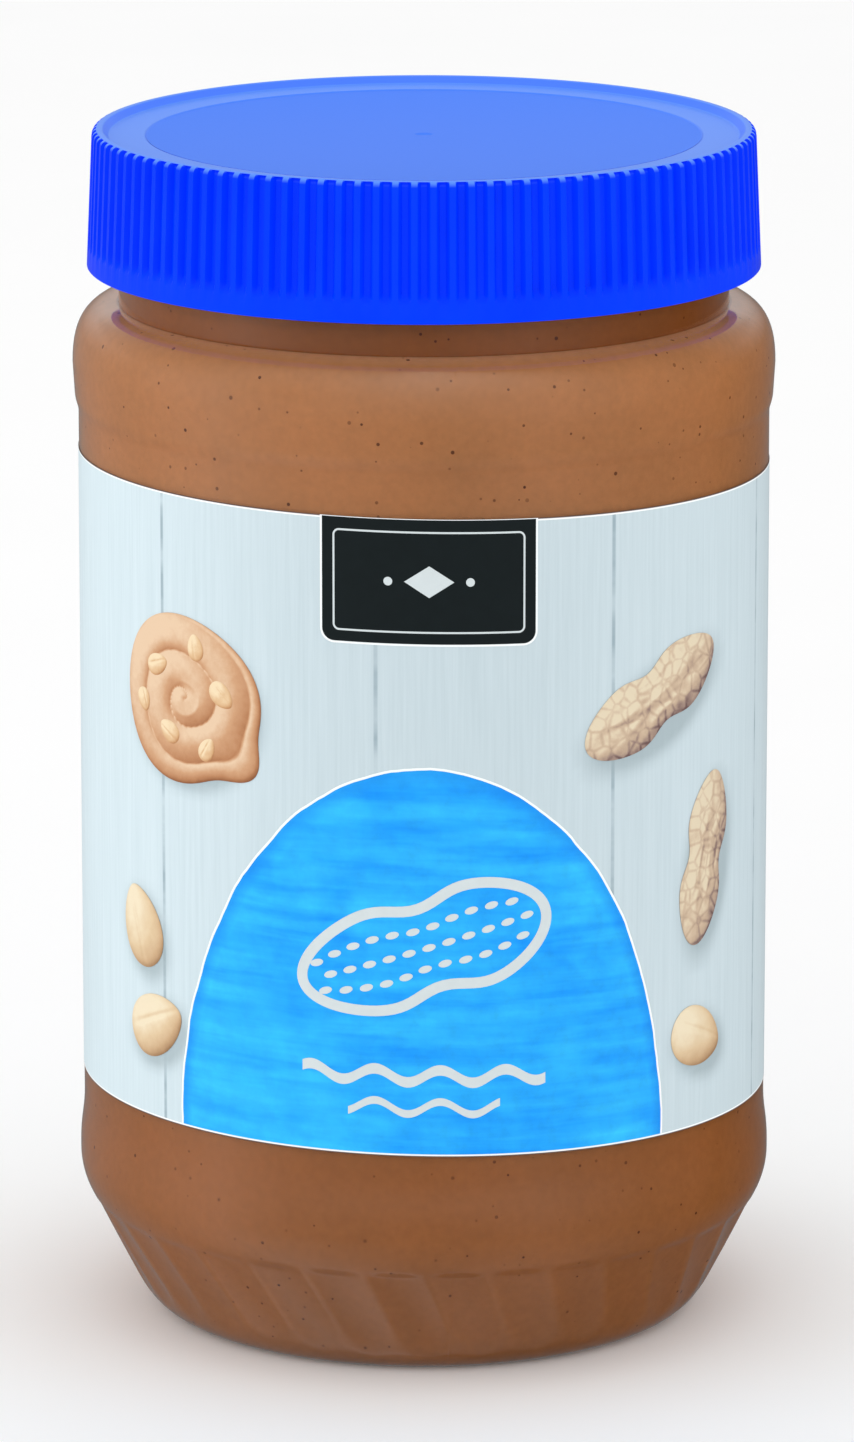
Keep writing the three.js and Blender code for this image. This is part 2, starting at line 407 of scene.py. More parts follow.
# The label: coated paper, printed and varnished, wrapped right round the straight side and glued
# where its ends overlap at the back. It was put on a little askew. Between its white edges it is
# printed with pale painted boards, and the things on them throw soft printed shadows.
LABEL_RADIUS = 48.5      # its face
LABEL_SKEW = 0.02
PAPER = 0.09
OVERLAP = 7.0
label_low, label_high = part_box("label")
LABEL_DROP = LABEL_SKEW * LABEL_RADIUS
LABEL_FOOT = label_low.z / MM + LABEL_DROP
LABEL_HEIGHT = (label_high.z - label_low.z) / MM - 2 * LABEL_DROP
LABEL_ROUND = TURN * LABEL_RADIUS

# What is painted on the label: how far each thing's middle is along from the front and above the
# label's foot, half its length, half its width, and how many degrees it is turned
PAINTED = {
    "swirl": [(-36.0, 61.0, 12.5, 11.8, 0)],
    "chip": [
        (-41.5, 65.0, 2.1, 1.5, 20), (-34.0, 68.5, 1.9, 1.4, 100), (-29.5, 62.5, 2.2, 1.6, -40),
        (-39.0, 56.0, 2.0, 1.5, 150), (-32.0, 54.5, 1.8, 1.3, 60), (-44.5, 59.5, 1.7, 1.3, -70),
    ],
    "pod": [
        (34.5, 62.5, 13.0, 5.6, 28), (45.0, 38.0, 12.0, 5.2, 78),
        (92.0, 66.0, 12.5, 5.5, 25), (-88.0, 24.0, 12.5, 5.4, -50),
    ],
    "nut": [
        (-42.5, 13.5, 5.8, 4.3, 24), (-45.5, 27.0, 5.9, 4.3, 112), (43.5, 13.0, 5.6, 4.2, -20),
        (90.0, 44.0, 5.6, 4.2, 10), (-86.0, 46.0, 5.6, 4.2, 130),
    ],
}


def printed_shadow(along, above):
    """How dark the shadows printed under the painted things are at a place on the label."""
    shift_right, shift_down, spread = 0.9, 1.3, 2.6
    darkest = 0
    for things in PAINTED.values():
        for middle_along, middle_above, half_length, half_width, degrees in things:
            to_right = along - middle_along - shift_right
            from_middle = Vector((to_right, above - middle_above + shift_down))
            if from_middle.length > half_length + spread:
                continue
            from_middle.rotate(Matrix.Rotation(-math.radians(degrees), 2))
            scaled = Vector((from_middle.x / half_length, from_middle.y / half_width))
            beyond = (scaled.length - 0.92) * half_width / spread
            darkest = max(darkest, 1 - min(1, max(0, beyond)))
    return darkest ** 2


def wrap_on_label(bm, lift=0):
    """Bends a flat bmesh in label millimetres round the jar, askew as the label is. What lies
    towards +Z in the flat stands outwards."""
    for vert in bm.verts:
        angle = vert.co.x / LABEL_RADIUS
        radius = LABEL_RADIUS + lift + vert.co.z
        height = LABEL_FOOT + vert.co.y
        place_round(vert, angle, radius)
        vert.co.z = height - LABEL_SKEW * vert.co.x
    bm.normal_update()


def round_normals(piece):
    """Shades the outward side of a sheet on the jar as the smooth cylinder that it follows."""
    normals = []
    for vert in piece.data.vertices:
        outwards = Vector((vert.co.x, vert.co.y, 0)).normalized()
        normals.append(outwards if vert.normal.dot(outwards) > 0 else -outwards)
    piece.data.normals_split_custom_set_from_vertices(normals)


def under_varnish(tree, colour):
    """Ends the material of what is printed on the label: a colour under its silky varnish."""
    varnish = add_node(
        tree, "ShaderNodeBsdfPrincipled", Base_Color=colour, Roughness=0.42, IOR=1.45,
        Specular_IOR_Level=0.2,
    )
    add_node(tree, "ShaderNodeOutputMaterial", Surface=varnish.outputs[0])


def coated_paper():
    """Coated label paper, offset-printed and varnished: cool white with a silky gloss. The print
    gives pale boards with a thin grey joint every 34 mm and a fine upright grain."""
    material, tree = new_material("label_paper_coated_printed")
    flat = add_node(tree, "ShaderNodeUVMap", {"uv_map": "label_mm"})
    along_above = add_node(tree, "ShaderNodeSeparateXYZ", Vector=flat.outputs[0])
    board_width, first_joint, joint_width = LABEL_ROUND / 9, -6.6, 0.16
    margin_width, cut_shade_width, soft_edge = 0.34, 0.12, 0.06
    shadow_strength = 0.62
    # distance to the nearest joint between two boards, counted from one that is past the label
    joint_past_label = first_joint - 20 * board_width
    shifted = add_node(
        tree, "ShaderNodeMath", {"operation": "SUBTRACT"}, in_0=along_above.outputs[0],
        in_1=joint_past_label,
    )
    joint_distance = add_node(
        tree, "ShaderNodeMath", {"operation": "PINGPONG"}, in_0=shifted.outputs[0],
        in_1=board_width / 2,
    )
    joint = add_node(
        tree, "ShaderNodeMapRange", {"interpolation_type": "SMOOTHSTEP"},
        in_0=joint_distance.outputs[0], From_Min=joint_width, From_Max=2.4 * joint_width,
        To_Min=1, To_Max=0,
    )
    worn = add_node(
        tree, "ShaderNodeMapping", {"vector_type": "POINT"}, Vector=flat.outputs[0],
        Scale=(0.03, 0.16, 1),
    )
    joint_wear = add_node(tree, "ShaderNodeTexNoise", Vector=worn.outputs[0], Scale=1, Detail=4.0)
    joint_strength = add_node(
        tree, "ShaderNodeMapRange", in_0=joint_wear.outputs[0], From_Min=0.35, From_Max=0.62,
        To_Min=0.15, To_Max=0.8,
    )
    joint_ink = add_node(
        tree, "ShaderNodeMath", {"operation": "MULTIPLY"}, in_0=joint.outputs[0],
        in_1=joint_strength.outputs[0],
    )
    stretched = add_node(
        tree, "ShaderNodeMapping", Vector=flat.outputs[0], Scale=(1.6, 0.035, 1)
    )
    grain = add_node(
        tree, "ShaderNodeTexNoise", Vector=stretched.outputs[0], Scale=1, Detail=3.0, Roughness=0.7
    )
    boards = add_node(
        tree, "ShaderNodeValToRGB", stops=[(0.3, linear("#c4d4da")), (0.7, linear("#cddce2"))],
        Fac=grain.outputs[0],
    )
    # painted light and shade on the boards: a little deeper round the middle of the front, and
    # palest at its left
    round_label = add_node(
        tree, "ShaderNodeMapRange", in_0=along_above.outputs[0], From_Min=-LABEL_ROUND / 2,
        From_Max=LABEL_ROUND / 2,
    )
    tones = ((0, 1), (0.28, 1.13), (0.46, 0.95), (0.54, 0.93), (0.72, 1.01), (1, 1))
    board_painted_light = add_node(
        tree, "ShaderNodeValToRGB", stops=[(place, (tone, tone, tone, 1)) for place, tone in tones],
        Fac=round_label.outputs[0],
    )
    painted_lit_boards = add_node(
        tree, "ShaderNodeVectorMath", {"operation": "MULTIPLY"}, in_0=boards.outputs[0],
        in_1=board_painted_light.outputs[0],
    )
    jointed = add_node(
        tree, "ShaderNodeMix", {"data_type": "RGBA"}, in_0=joint_ink.outputs[0],
        in_6=painted_lit_boards.outputs[0], in_7=linear("#8fa3ad"),
    )
    shade = add_node(tree, "ShaderNodeAttribute", {"attribute_name": "shadow"})
    shade_amount = add_node(
        tree, "ShaderNodeMath", {"operation": "MULTIPLY"}, in_0=shade.outputs["Fac"],
        in_1=shadow_strength,
    )
    shaded = add_node(
        tree, "ShaderNodeMix", {"data_type": "RGBA"}, in_0=shade_amount.outputs[0],
        in_6=jointed.outputs[2], in_7=linear("#93a3a8"),
    )
    # unprinted paper along both edges, and a thin dark line of painted shade along the cut
    from_edge = add_node(
        tree, "ShaderNodeMath", {"operation": "PINGPONG"}, in_0=along_above.outputs[1],
        in_1=LABEL_HEIGHT / 2,
    )
    margin = add_node(
        tree, "ShaderNodeMapRange", in_0=from_edge.outputs[0], From_Min=margin_width,
        From_Max=margin_width + soft_edge, To_Min=1, To_Max=0,
    )
    margined = add_node(
        tree, "ShaderNodeMix", {"data_type": "RGBA"}, in_0=margin.outputs[0],
        in_6=shaded.outputs[2], in_7=linear("#f8fbfb"),
    )
    # painted shade: a thin dark line along the cut edge
    cut = add_node(
        tree, "ShaderNodeMapRange", in_0=from_edge.outputs[0], From_Min=cut_shade_width,
        From_Max=cut_shade_width + soft_edge, To_Min=1, To_Max=0,
    )
    colour = add_node(
        tree, "ShaderNodeMix", {"data_type": "RGBA"}, in_0=cut.outputs[0],
        in_6=margined.outputs[2], in_7=linear("#6b5852"),
    )
    under_varnish(tree, colour.outputs[2])
    return material


def label_sheet():
    """The label's sheet: one flat strip, bent round, whose one end lies on the other."""
    length = LABEL_ROUND + OVERLAP
    across, up = round(length), round(LABEL_HEIGHT)
    bm = bmesh.new()
    bmesh.ops.create_grid(bm, x_segments=across, y_segments=up, size=0.5)
    bmesh.ops.scale(bm, vec=(length, LABEL_HEIGHT, 1), verts=bm.verts[:])
    bmesh.ops.translate(bm, vec=(OVERLAP / 2, LABEL_HEIGHT / 2, 0), verts=bm.verts[:])
    bmesh.ops.recalc_face_normals(bm, faces=bm.faces[:])
    if bm.faces[:][0].normal.z < 0:
        bmesh.ops.reverse_faces(bm, faces=bm.faces[:])
    shadow = bm.verts.layers.float.new("shadow")
    label_mm = bm.loops.layers.uv.new("label_mm")
    step_length, step_height = 1.5, 1.15 * PAPER
    for vert in bm.verts:
        vert[shadow] = printed_shadow(vert.co.x, vert.co.y)
        onto_itself = (vert.co.x - LABEL_ROUND / 2 + step_length) / step_length
        vert.co.z = step_height * min(1, max(0, onto_itself))
    for face in bm.faces:
        for loop in face.loops:
            loop[label_mm].uv = loop.vert.co.xy
    wrap_on_label(bm)
    bmesh.ops.solidify(bm, geom=bm.faces[:], thickness=PAPER)
    return bm


label = finished("label_sheet", label_sheet(), coated_paper(), 40)
round_normals(label)
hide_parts("label")


# The azure hill on the label's front: a wash brushed on in broad level strokes, with a wavering
# edge and a line of bare paper round it. It rises from the label's foot. It is one layer of ink.
INK = 0.02               # a layer of ink, drawn thicker than it is so that layers stay apart
HILL_HALF_WIDTH, HILL_HEIGHT = 36.5, 54.0
HILL_FOOT = 0.4          # the white margin below it
HILL_LINE = 0.35         # the line of bare paper round it


def unit_disc(rings, columns):
    """A flat round mesh of radius 1 with even rings, each vertex keeping its place in the disc in
    the attribute "disc"."""
    bm = bmesh.new()
    disc = bm.verts.layers.float_vector.new("disc")
    spoke = [bm.verts.new((ring / rings, 0, 0)) for ring in range(rings + 1)]
    edges = [bm.edges.new(pair) for pair in zip(spoke, spoke[1:])]
    bmesh.ops.spin(
        bm, geom=spoke + edges, cent=(0, 0, 0), axis=(0, 0, 1), angle=TURN, steps=columns,
        use_merge=True,
    )
    bmesh.ops.remove_doubles(bm, verts=bm.verts[:], dist=0.2 / columns / rings)
    bmesh.ops.recalc_face_normals(bm, faces=bm.faces[:])
    if bm.faces[:][0].normal.z < 0:
        bmesh.ops.reverse_faces(bm, faces=bm.faces[:])
    for vert in bm.verts:
        vert[disc] = vert.co
    return bm


def printed(name, bm, material, layer):
    """The piece of a flat bmesh in label millimetres, as a layer of ink on the wrapped label."""
    wrap_on_label(bm, layer * INK)
    bmesh.ops.solidify(bm, geom=bm.faces[:], thickness=INK)
    piece = finished(name, bm, material, 60)
    round_normals(piece)
    return piece


def brushed_wash():
    """Azure wash, printed: level brush strokes in lighter and deeper blue over soft pools, deepest
    just inside its edge, with the satin of the label's varnish."""
    material, tree = new_material("azure_wash_print")
    disc = add_node(tree, "ShaderNodeAttribute", {"attribute_name": "disc"}).outputs["Vector"]
    pool_size, bloom_size = 17.0, 2.4
    stroke_length, stroke_height = 26.0, 2.6
    pooled = add_node(
        tree, "ShaderNodeMapping", Vector=disc,
        Scale=(HILL_HALF_WIDTH / pool_size, HILL_HEIGHT / pool_size, 1),
    )
    pools = add_node(
        tree, "ShaderNodeTexNoise", Vector=pooled.outputs[0], Scale=1, Detail=3.0, Distortion=0.6
    )
    brushed = add_node(
        tree, "ShaderNodeMapping", Vector=disc,
        Scale=(HILL_HALF_WIDTH / stroke_length, HILL_HEIGHT / stroke_height, 1),
        Rotation=(0, 0, math.radians(2)),
    )
    strokes = add_node(
        tree, "ShaderNodeTexNoise", Vector=brushed.outputs[0], Scale=1, Detail=3.0, Roughness=0.55,
        Distortion=0.25,
    )
    depth = add_node(
        tree, "ShaderNodeMix", {"data_type": "FLOAT"}, in_0=0.5, in_2=pools.outputs[0],
        in_3=strokes.outputs[0],
    )
    wash = add_node(
        tree, "ShaderNodeValToRGB", stops=[(0.36, linear("#0c93f6")), (0.66, linear("#34c2fb"))],
        Fac=depth.outputs[0],
    )
    bloomed_place = add_node(
        tree, "ShaderNodeMapping", Vector=disc,
        Scale=(HILL_HALF_WIDTH / bloom_size, HILL_HEIGHT / bloom_size, 1),
    )
    blooms = add_node(
        tree, "ShaderNodeTexNoise", Vector=bloomed_place.outputs[0], Scale=1, Detail=4.0,
        Roughness=0.65,
    )
    bloom_tone = add_node(
        tree, "ShaderNodeMapRange", in_0=blooms.outputs[0], From_Min=0.3, From_Max=0.7,
        To_Min=0.92, To_Max=1.08,
    )
    bloomed = add_node(
        tree, "ShaderNodeVectorMath", {"operation": "SCALE"}, in_0=wash.outputs[0],
        Scale=bloom_tone.outputs[0],
    )
    from_middle = add_node(tree, "ShaderNodeVectorMath", {"operation": "LENGTH"}, in_0=disc)
    rim = add_node(
        tree, "ShaderNodeMapRange", in_0=from_middle.outputs["Value"], From_Min=0.95,
        From_Max=0.99, To_Min=0.0, To_Max=0.5,
    )
    rimmed = add_node(
        tree, "ShaderNodeMix", {"data_type": "RGBA"}, in_0=rim.outputs[0],
        in_6=bloomed.outputs[0], in_7=linear("#0a7fe6"),
    )
    under_varnish(tree, rimmed.outputs[2])
    return material


def flat_ink(name, hex_colour, mottle, spot_size):
    """One printed tone with the faint unevenness of a solid area of ink."""
    material, tree = new_material(name)
    place = add_node(tree, "ShaderNodeTexCoord").outputs["Object"]
    spots = add_node(
        tree, "ShaderNodeTexNoise", Vector=place, Scale=1 / spot_size, Detail=3.0, Roughness=0.6
    )
    tone = add_node(
        tree, "ShaderNodeMapRange", in_0=spots.outputs[0], From_Min=0.3, From_Max=0.7,
        To_Min=1 - mottle, To_Max=1 + mottle,
    )
    colour = add_node(
        tree, "ShaderNodeVectorMath", {"operation": "SCALE"}, in_0=linear(hex_colour)[:3],
        Scale=tone.outputs[0],
    )
    under_varnish(tree, colour.outputs[0])
    return material


def wavering_hill(beyond):
    """A flat hill whose edge wavers as a hand-painted one does, cut off level at its foot."""
    bm = unit_disc(44, 260)
    for vert in bm.verts:
        around = vert.co.normalized()
        waver = 1.1 * noise.noise(1.6 * around) + 0.3 * noise.noise(7 * around)
        fine_waver = 0.08 * noise.noise(26 * around)
        vert.co.x *= HILL_HALF_WIDTH + beyond + waver + fine_waver
        vert.co.y *= HILL_HEIGHT + beyond + waver + fine_waver
    bmesh.ops.bisect_plane(
        bm, geom=bm.verts[:] + bm.edges[:] + bm.faces[:], plane_co=(0, HILL_FOOT, 0),
        plane_no=(0, -1, 0), dist=1e-4, clear_outer=True,
    )
    return bm


paper_white = flat_ink("bare_label_paper_white", "#f3f8f9", 0.01, 3 * MM)
printed("print_hill_edge", wavering_hill(HILL_LINE), paper_white, 1)
printed("print_hill_wash", wavering_hill(0), brushed_wash(), 2)


# The dark tab that hangs from the label's upper edge, in near-black ink with a thin pale outline,
# and in it a fine frame line round a plain ornament of a diamond between two dots.
TAB_LEFT, TAB_RIGHT, TAB_FOOT, TAB_TOP = -14.0, 15.4, 72.2, LABEL_HEIGHT
TAB_CORNER, TAB_OUTLINE, TAB_UNDER_EDGE = 1.7, 0.3, 0.1
FRAME_INSET, FRAME_INSET_ABOVE, FRAME_CORNER, FRAME_WIDTH = 1.5, 1.7, 0.9, 0.26
DIAMOND_HALF_LENGTH, DIAMOND_HALF_HEIGHT = 3.4, 2.2
DOT_RADIUS, DOT_FROM_MIDDLE = 0.6, 5.6


def rounded_panel(left, right, foot, top, corner, upper_corners=False):
    """A flat panel with round corners at its foot, and at its top too if asked."""
    bm = bmesh.new()
    bmesh.ops.create_grid(bm, x_segments=1, y_segments=1, size=0.5)
    bmesh.ops.scale(bm, vec=(right - left, top - foot, 1), verts=bm.verts[:])
    bmesh.ops.translate(bm, vec=((left + right) / 2, (foot + top) / 2, 0), verts=bm.verts[:])
    corners = [vert for vert in bm.verts if upper_corners or vert.co.y < (foot + top) / 2]
    bmesh.ops.bevel(
        bm, geom=corners, offset=corner, segments=8, profile=0.5, affect="VERTICES", material=-1
    )
    return bm


def keep_outline(bm, width):
    """Leaves only a band of one width along the edge of a flat shape."""
    bmesh.ops.inset_region(
        bm, faces=bm.faces[:], thickness=width, use_even_offset=True, use_boundary=True
    )
    inner = [face for face in bm.faces if not any(edge.is_boundary for edge in face.edges)]
    bmesh.ops.delete(bm, geom=inner, context="FACES")


def cut_to_bend(bm):
    """Cuts a flat shape into upright strips 1 mm wide, so that it can follow the jar."""
    bmesh.ops.triangulate(bm, faces=[face for face in bm.faces if len(face.verts) > 4])
    left = min(vert.co.x for vert in bm.verts)
    right = max(vert.co.x for vert in bm.verts)
    for cut in range(math.ceil(left), math.ceil(right)):
        bmesh.ops.bisect_plane(
            bm, geom=bm.verts[:] + bm.edges[:] + bm.faces[:], plane_co=(cut, 0, 0),
            plane_no=(1, 0, 0), dist=1e-4,
        )
    bm.normal_update()
    downward = [face for face in bm.faces if face.normal.z < 0]
    bmesh.ops.reverse_faces(bm, faces=downward)
    return bm


def add_spot(bm, middle, half_length, half_width, segments=24):
    """Adds a small flat ellipse, or a diamond if it has four segments."""
    made = bmesh.ops.create_circle(bm, cap_ends=True, radius=1, segments=segments)["verts"]
    bmesh.ops.scale(bm, vec=(half_length, half_width, 1), verts=made)
    bmesh.ops.translate(bm, vec=(*middle, 0), verts=made)


tab_outline = rounded_panel(
    TAB_LEFT - TAB_OUTLINE, TAB_RIGHT + TAB_OUTLINE, TAB_FOOT - TAB_OUTLINE, TAB_TOP,
    TAB_CORNER + TAB_OUTLINE,
)
printed("print_tab_outline", cut_to_bend(tab_outline), paper_white, 2)
near_black = flat_ink("near_black_ink", "#131c1e", 0.06, 2 * MM)
tab = rounded_panel(TAB_LEFT, TAB_RIGHT, TAB_FOOT, TAB_TOP - TAB_UNDER_EDGE, TAB_CORNER)
printed("print_tab", cut_to_bend(tab), near_black, 3)

pale_ink = flat_ink("pale_grey_ink", "#cfd8da", 0.02, 2 * MM)
ornament = rounded_panel(
    TAB_LEFT + FRAME_INSET, TAB_RIGHT - FRAME_INSET, TAB_FOOT + FRAME_INSET,
    TAB_TOP - FRAME_INSET_ABOVE, FRAME_CORNER, True,
)
keep_outline(ornament, FRAME_WIDTH)
tab_middle = Vector(((TAB_LEFT + TAB_RIGHT) / 2, (TAB_FOOT + TAB_TOP) / 2))
add_spot(ornament, tab_middle, DIAMOND_HALF_LENGTH, DIAMOND_HALF_HEIGHT, 4)
for side in (-1, 1):
    add_spot(ornament, tab_middle + Vector((side * DOT_FROM_MIDDLE, 0)), DOT_RADIUS, DOT_RADIUS)
printed("print_tab_ornament", cut_to_bend(ornament), pale_ink, 4)


# The sign in the middle of the azure hill: a plain peanut pod in pale grey, drawn as an outline
# with rows of small marks for its netted shell, over two waved lines.
SIGN_MIDDLE = Vector((0, 29.5))
SIGN_HALF_LENGTH, SIGN_HALF_WIDTH, SIGN_LINE = 18.5, 8.6, 1.5
SIGN_TURN = math.radians(18)
MARK_ROWS, MARKS_IN_ROW = 3, 11
MARK_HALF_LENGTH, MARK_HALF_WIDTH = 0.95, 0.5


def pod_width(along, half_width, waist=0.26):
    """Half the width of a pod at a place along it from -1 to 1, before its ends round off."""
    return half_width * (1 - waist * math.exp(-((along - 0.04) / 0.27) ** 2) + 0.06 * along)


def peanut_sign():
    """The pod's outline and the marks in it, every other row half a mark further along."""
    bm = bmesh.new()
    edge = bmesh.ops.create_circle(bm, cap_ends=True, radius=1, segments=120)["verts"]
    for vert in edge:
        vert.co.y *= pod_width(vert.co.x, SIGN_HALF_WIDTH)
        vert.co.x *= SIGN_HALF_LENGTH
    keep_outline(bm, SIGN_LINE)
    row_spacing, rows_reach = 0.42, 1.7    # as shares of the pod's half width and half length
    for row in range(MARK_ROWS):
        level = (row - (MARK_ROWS - 1) / 2) * row_spacing
        for mark in range(MARKS_IN_ROW):
            from_middle = mark - (MARKS_IN_ROW - 1) / 2 + 0.5 * (row % 2 - 0.5)
            along = from_middle * rows_reach / MARKS_IN_ROW
            width = pod_width(along, SIGN_HALF_WIDTH) * math.sqrt(1 - along ** 2)
            place = (along * SIGN_HALF_LENGTH, level * width)
            add_spot(bm, place, MARK_HALF_LENGTH, MARK_HALF_WIDTH, 20)
    turn = Matrix.Rotation(SIGN_TURN, 3, "Z")
    bmesh.ops.rotate(bm, cent=(0, 0, 0), matrix=turn, verts=bm.verts[:])
    bmesh.ops.translate(bm, vec=(*SIGN_MIDDLE, 0), verts=bm.verts[:])
    return bm


def waved_line(bm, height, half_length, width):
    """Adds a level line of even width with slow waves."""
    before = set(bm.verts)
    bmesh.ops.create_grid(bm, x_segments=72, y_segments=1, size=0.5)
    made = [vert for vert in bm.verts if vert not in before]
    bmesh.ops.scale(bm, vec=(2 * half_length, width, 1), verts=made)
    wave_length, wave_height = 9.0, 0.9
    for vert in made:
        vert.co.y += wave_height * math.sin(vert.co.x * TURN / wave_length)
    bmesh.ops.translate(bm, vec=(SIGN_MIDDLE.x, height, 0), verts=made)


sign = peanut_sign()
for line_height, half_length, line_width in ((11.5, 17.0, 1.5), (7.0, 10.5, 1.1)):
    waved_line(sign, line_height, half_length, line_width)
printed("print_peanut_sign", cut_to_bend(sign), pale_ink, 3)


# The painted things round the hill: a swirl of peanut butter, peanuts in their shells and
# blanched nuts. Each is modelled in the round, lit from the upper left and then pressed flat,
# and the light that fell on it stays as the print's light and shade.
PAINTED_LIGHT = Vector((-0.45, 0.55, 0.7)).normalized()


def painted_tones(name, tones, mottle, mottle_size, net_size=None):
    """A painted thing's inks, from shadow to light, with mottling and, on a shell, a net of
    darker veins."""
    material, tree = new_material(name)
    place = add_node(tree, "ShaderNodeTexCoord").outputs["Object"]
    light = add_node(tree, "ShaderNodeAttribute", {"attribute_name": "light"}).outputs["Fac"]
    spots = add_node(
        tree, "ShaderNodeTexNoise", Vector=place, Scale=1 / mottle_size, Detail=4.0, Roughness=0.6
    )
    uneven = add_node(
        tree, "ShaderNodeMapRange", in_0=spots.outputs[0], From_Min=0.25, From_Max=0.75,
        To_Min=-mottle, To_Max=mottle,
    )
    lit = add_node(
        tree, "ShaderNodeMath", {"operation": "ADD"}, in_0=light, in_1=uneven.outputs[0]
    )
    if net_size:
        net = add_node(
            tree, "ShaderNodeTexVoronoi", {"feature": "DISTANCE_TO_EDGE"}, Vector=place,
            Scale=1 / net_size,
        )
        vein = add_node(
            tree, "ShaderNodeMapRange", in_0=net.outputs["Distance"], From_Min=0.02,
            From_Max=0.16, To_Min=-0.2, To_Max=0.03,
        )
        lit = add_node(
            tree, "ShaderNodeMath", {"operation": "ADD"}, in_0=lit.outputs[0],
            in_1=vein.outputs[0],
        )
    darkest_at, lightest_at = 0.08, 0.95
    step = (lightest_at - darkest_at) / (len(tones) - 1)
    stops = [(darkest_at + step * number, linear(tone)) for number, tone in enumerate(tones)]
    ramp = add_node(tree, "ShaderNodeValToRGB", stops=stops, Fac=lit.outputs[0])
    under_varnish(tree, ramp.outputs[0])
    return material


def pod_form(point, half_length, half_width, seed):
    """A pod in its shell: two swellings, long ribs and cross veins, and a small beak."""
    across = pod_width(point.x, half_width, 0.3)
    dome = math.sqrt(max(0, 1 - point.length_squared))
    ribs = 0.28 * math.sin(9 * point.y + 1.4 * math.sin(3 * point.x + seed))
    bumps = 0.5 * noise.noise(Vector((7 * point.x, 5 * point.y, seed)))
    height = across * dome + (ribs + bumps) * dome ** 0.5
    beak = 0.06 * max(0, point.x) ** 8
    return Vector((half_length * (point.x + beak), across * point.y, height))


def nut_form(point, half_length, half_width, seed):
    """A blanched nut: an egg with a shallow groove along it, narrower at one end."""
    dome = math.sqrt(max(0, 1 - point.length_squared))
    taper = 1 - 0.16 * point.x - 0.12 * max(0, point.x) ** 3
    groove = 0.35 * math.exp(-((point.y - 0.25) / 0.09) ** 2) * dome
    wobble = 0.15 * noise.noise(Vector((2 * point.x, 2 * point.y, seed)))
    height = 0.95 * half_width * dome - groove + wobble * dome
    return Vector((half_length * point.x, half_width * taper * point.y, height))


def swirl_form(point, half_length, half_width, seed):
    """A swirl of peanut butter: one soft rounded fold that winds in to a peak, with a short tail
    where it was drawn off."""
    around, out = math.atan2(point.y, point.x), point.length
    tail_at, tail_width = -0.7, 0.28
    tail = 0.26 * math.exp(-((around - tail_at) / tail_width) ** 2)
    reach = 1 + 0.035 * math.sin(3 * around + seed) + tail * out ** 3
    fold = abs(math.sin(math.pi * (2.3 * out - around / TURN))) ** 0.6
    dome = math.sqrt(max(0, 1 - out ** 2))
    peak = 1.3 * math.exp(-(out / 0.14) ** 2)
    height = 3.6 * dome + 1.7 * fold * min(1, out / 0.2) * dome ** 0.4 + peak
    return Vector((half_length * reach * point.x, half_width * reach * point.y, height))


def pour_into(bm_all, bm):
    """Adds one bmesh to another, with its attributes, and frees it."""
    part = bpy.data.meshes.new("part")
    bm.to_mesh(part)
    bm.free()
    bm_all.from_mesh(part)
    bpy.data.meshes.remove(part)


def paint_things(bm_all, form, things, rings, columns):
    """Adds each thing of a kind to one flat bmesh, with the light it was painted in."""
    for number, (along, above, half_length, half_width, degrees) in enumerate(things):
        bm = unit_disc(rings, columns)
        light = bm.verts.layers.float.new("light")
        for vert in bm.verts:
            vert.co = form(vert.co, half_length, half_width, 3.7 * number + 1.3)
        turn = Matrix.Rotation(math.radians(degrees), 3, "Z")
        bmesh.ops.rotate(bm, cent=(0, 0, 0), matrix=turn, verts=bm.verts[:])
        bmesh.ops.translate(bm, vec=(along, above, 0), verts=bm.verts[:])
        bm.normal_update()
        for vert in bm.verts:
            vert[light] = 0.5 + 0.5 * vert.normal.dot(PAINTED_LIGHT)
            vert.co.z = 0
        pour_into(bm_all, bm)


swirl_inks = painted_tones(
    "swirl_print", ["#5f3320", "#94603e", "#b68059", "#cb9c76", "#e2c4a4"],
    mottle=0.05, mottle_size=1.2 * MM,
)
chip_inks = painted_tones(
    "nut_chip_print", ["#8a5a3a", "#b98559", "#d2a87c", "#dfbe95", "#ecd6b2"],
    mottle=0.08, mottle_size=0.9 * MM,
)
shell_inks = painted_tones(
    "peanut_shell_print", ["#6f5654", "#9c8478", "#bfa68e", "#cfb89d", "#dfd0b4"],
    mottle=0.10, mottle_size=1.1 * MM, net_size=2.0 * MM,
)
nut_inks = painted_tones(
    "blanched_nut_print", ["#7d5a3e", "#a88460", "#c8a680", "#dcc29c", "#ebdcbe"],
    mottle=0.05, mottle_size=1.5 * MM,
)
for kind, form, rings, columns, layer, inks in (
    ("swirl", swirl_form, 60, 240, 3, swirl_inks),
    ("chip", nut_form, 10, 40, 4, chip_inks),
    ("pod", pod_form, 26, 110, 3, shell_inks),
    ("nut", nut_form, 20, 90, 3, nut_inks),
):
    flat_things = bmesh.new()
    paint_things(flat_things, form, PAINTED[kind], rings, columns)
    printed(f"print_{kind}", flat_things, inks, layer)


# The back of the label: a white panel in a thin grey frame each side of the overlap, ruled with
# plain level lines and one thick bar, in the same flat inks.
PANEL_FOOT, PANEL_TOP, PANEL_HALF_WIDTH = 10, 80, 16
PANEL_MIDDLE = 121       # along the label from the middle of the front
PANEL_CORNER, PANEL_FRAME = 2.0, 0.35
RULED_FROM, RULED_EVERY, RULES = 15, 5, 11
RULE_INSET, RULE_CORNER, RULE_WIDTH, BAR_WIDTH = 3, 0.1, 0.25, 1.4

